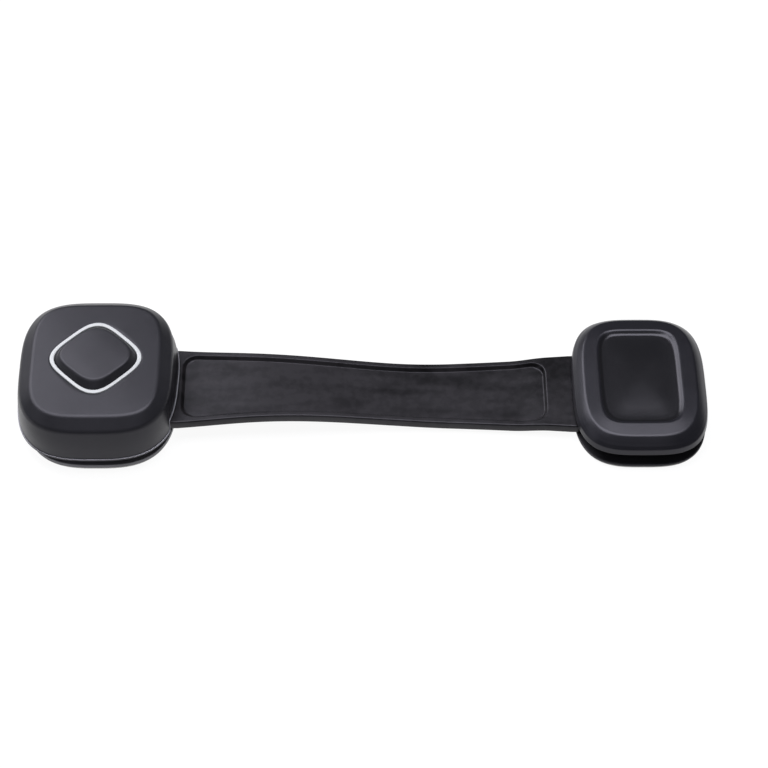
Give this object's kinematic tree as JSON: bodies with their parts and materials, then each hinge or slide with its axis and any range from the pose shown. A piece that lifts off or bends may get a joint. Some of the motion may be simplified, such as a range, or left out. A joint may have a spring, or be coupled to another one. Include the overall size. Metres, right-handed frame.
{
  "type": "cabinet strap lock",
  "caption": "Adhesive cabinet safety lock: a push-button latch housing, a waisted flexible strap with a long recess, and a swivelling anchor pad.",
  "frame": {"origin": "middle of the whole lock at rest, on the surface that its two adhesive pads stick to", "axes": "+X along the strap from the latch to the anchor, +Z away from the surface that the lock sticks to"},
  "size_m": [0.21, 0.054, 0.0223],
  "materials": {
    "foam_tape": "white double-sided foam tape",
    "base_black": "satin black moulded plastic",
    "inner_black": "plain black moulded plastic",
    "housing_black": "fine satin black moulded plastic",
    "ring_grey": "light grey moulded plastic",
    "button_black": "soft satin black plastic",
    "spring_steel": "spring wire",
    "catch_plastic": "natural white acetal",
    "screw_steel": "zinc-plated steel",
    "strap_rubber": "flexible black moulding with faint streaks",
    "cap_black": "satin black moulded plastic"
  },
  "bodies": {
    "latch": {"latch_adhesive_pad": "foam_tape", "latch_base_plate": "base_black", "latch_chassis": "inner_black", "latch_housing": "housing_black", "button_ring": "ring_grey", "button_spring": "spring_steel", "catch_clip": "catch_plastic", "catch_screws": "screw_steel", "housing_screws": "screw_steel"},
    "button": {"release_button": "button_black"},
    "strap_arm": {"strap_tongue": "catch_plastic", "tongue_rivets": "screw_steel", "strap": "strap_rubber", "swivel_plate": "inner_black", "anchor_cap": "cap_black", "cap_screws": "screw_steel"},
    "anchor": {"anchor_adhesive_pad": "foam_tape", "anchor_base_plate": "base_black", "slip_washer": "catch_plastic", "pivot_washer": "screw_steel", "pivot_screw": "screw_steel"}
  },
  "joints": [
    {"name": "button_press", "type": "slide", "parent": "latch", "child": "button", "axis": [0, 0, -1], "range_m": [0, 0.0024], "stiffness_N_per_m": 600, "springref_m": -0.001, "deforming": ["button_spring", "catch_clip"]},
    {"name": "strap_release", "type": "slide", "parent": "latch", "child": "strap_arm", "axis": [1, 0, 0], "range_m": [0, 0.044]},
    {"name": "anchor_swivel", "type": "hinge", "parent": "strap_arm", "child": "anchor", "pos_m": [0.0846, 0, 0.004], "axis": [0, 0, 1], "continuous": true}
  ]
}
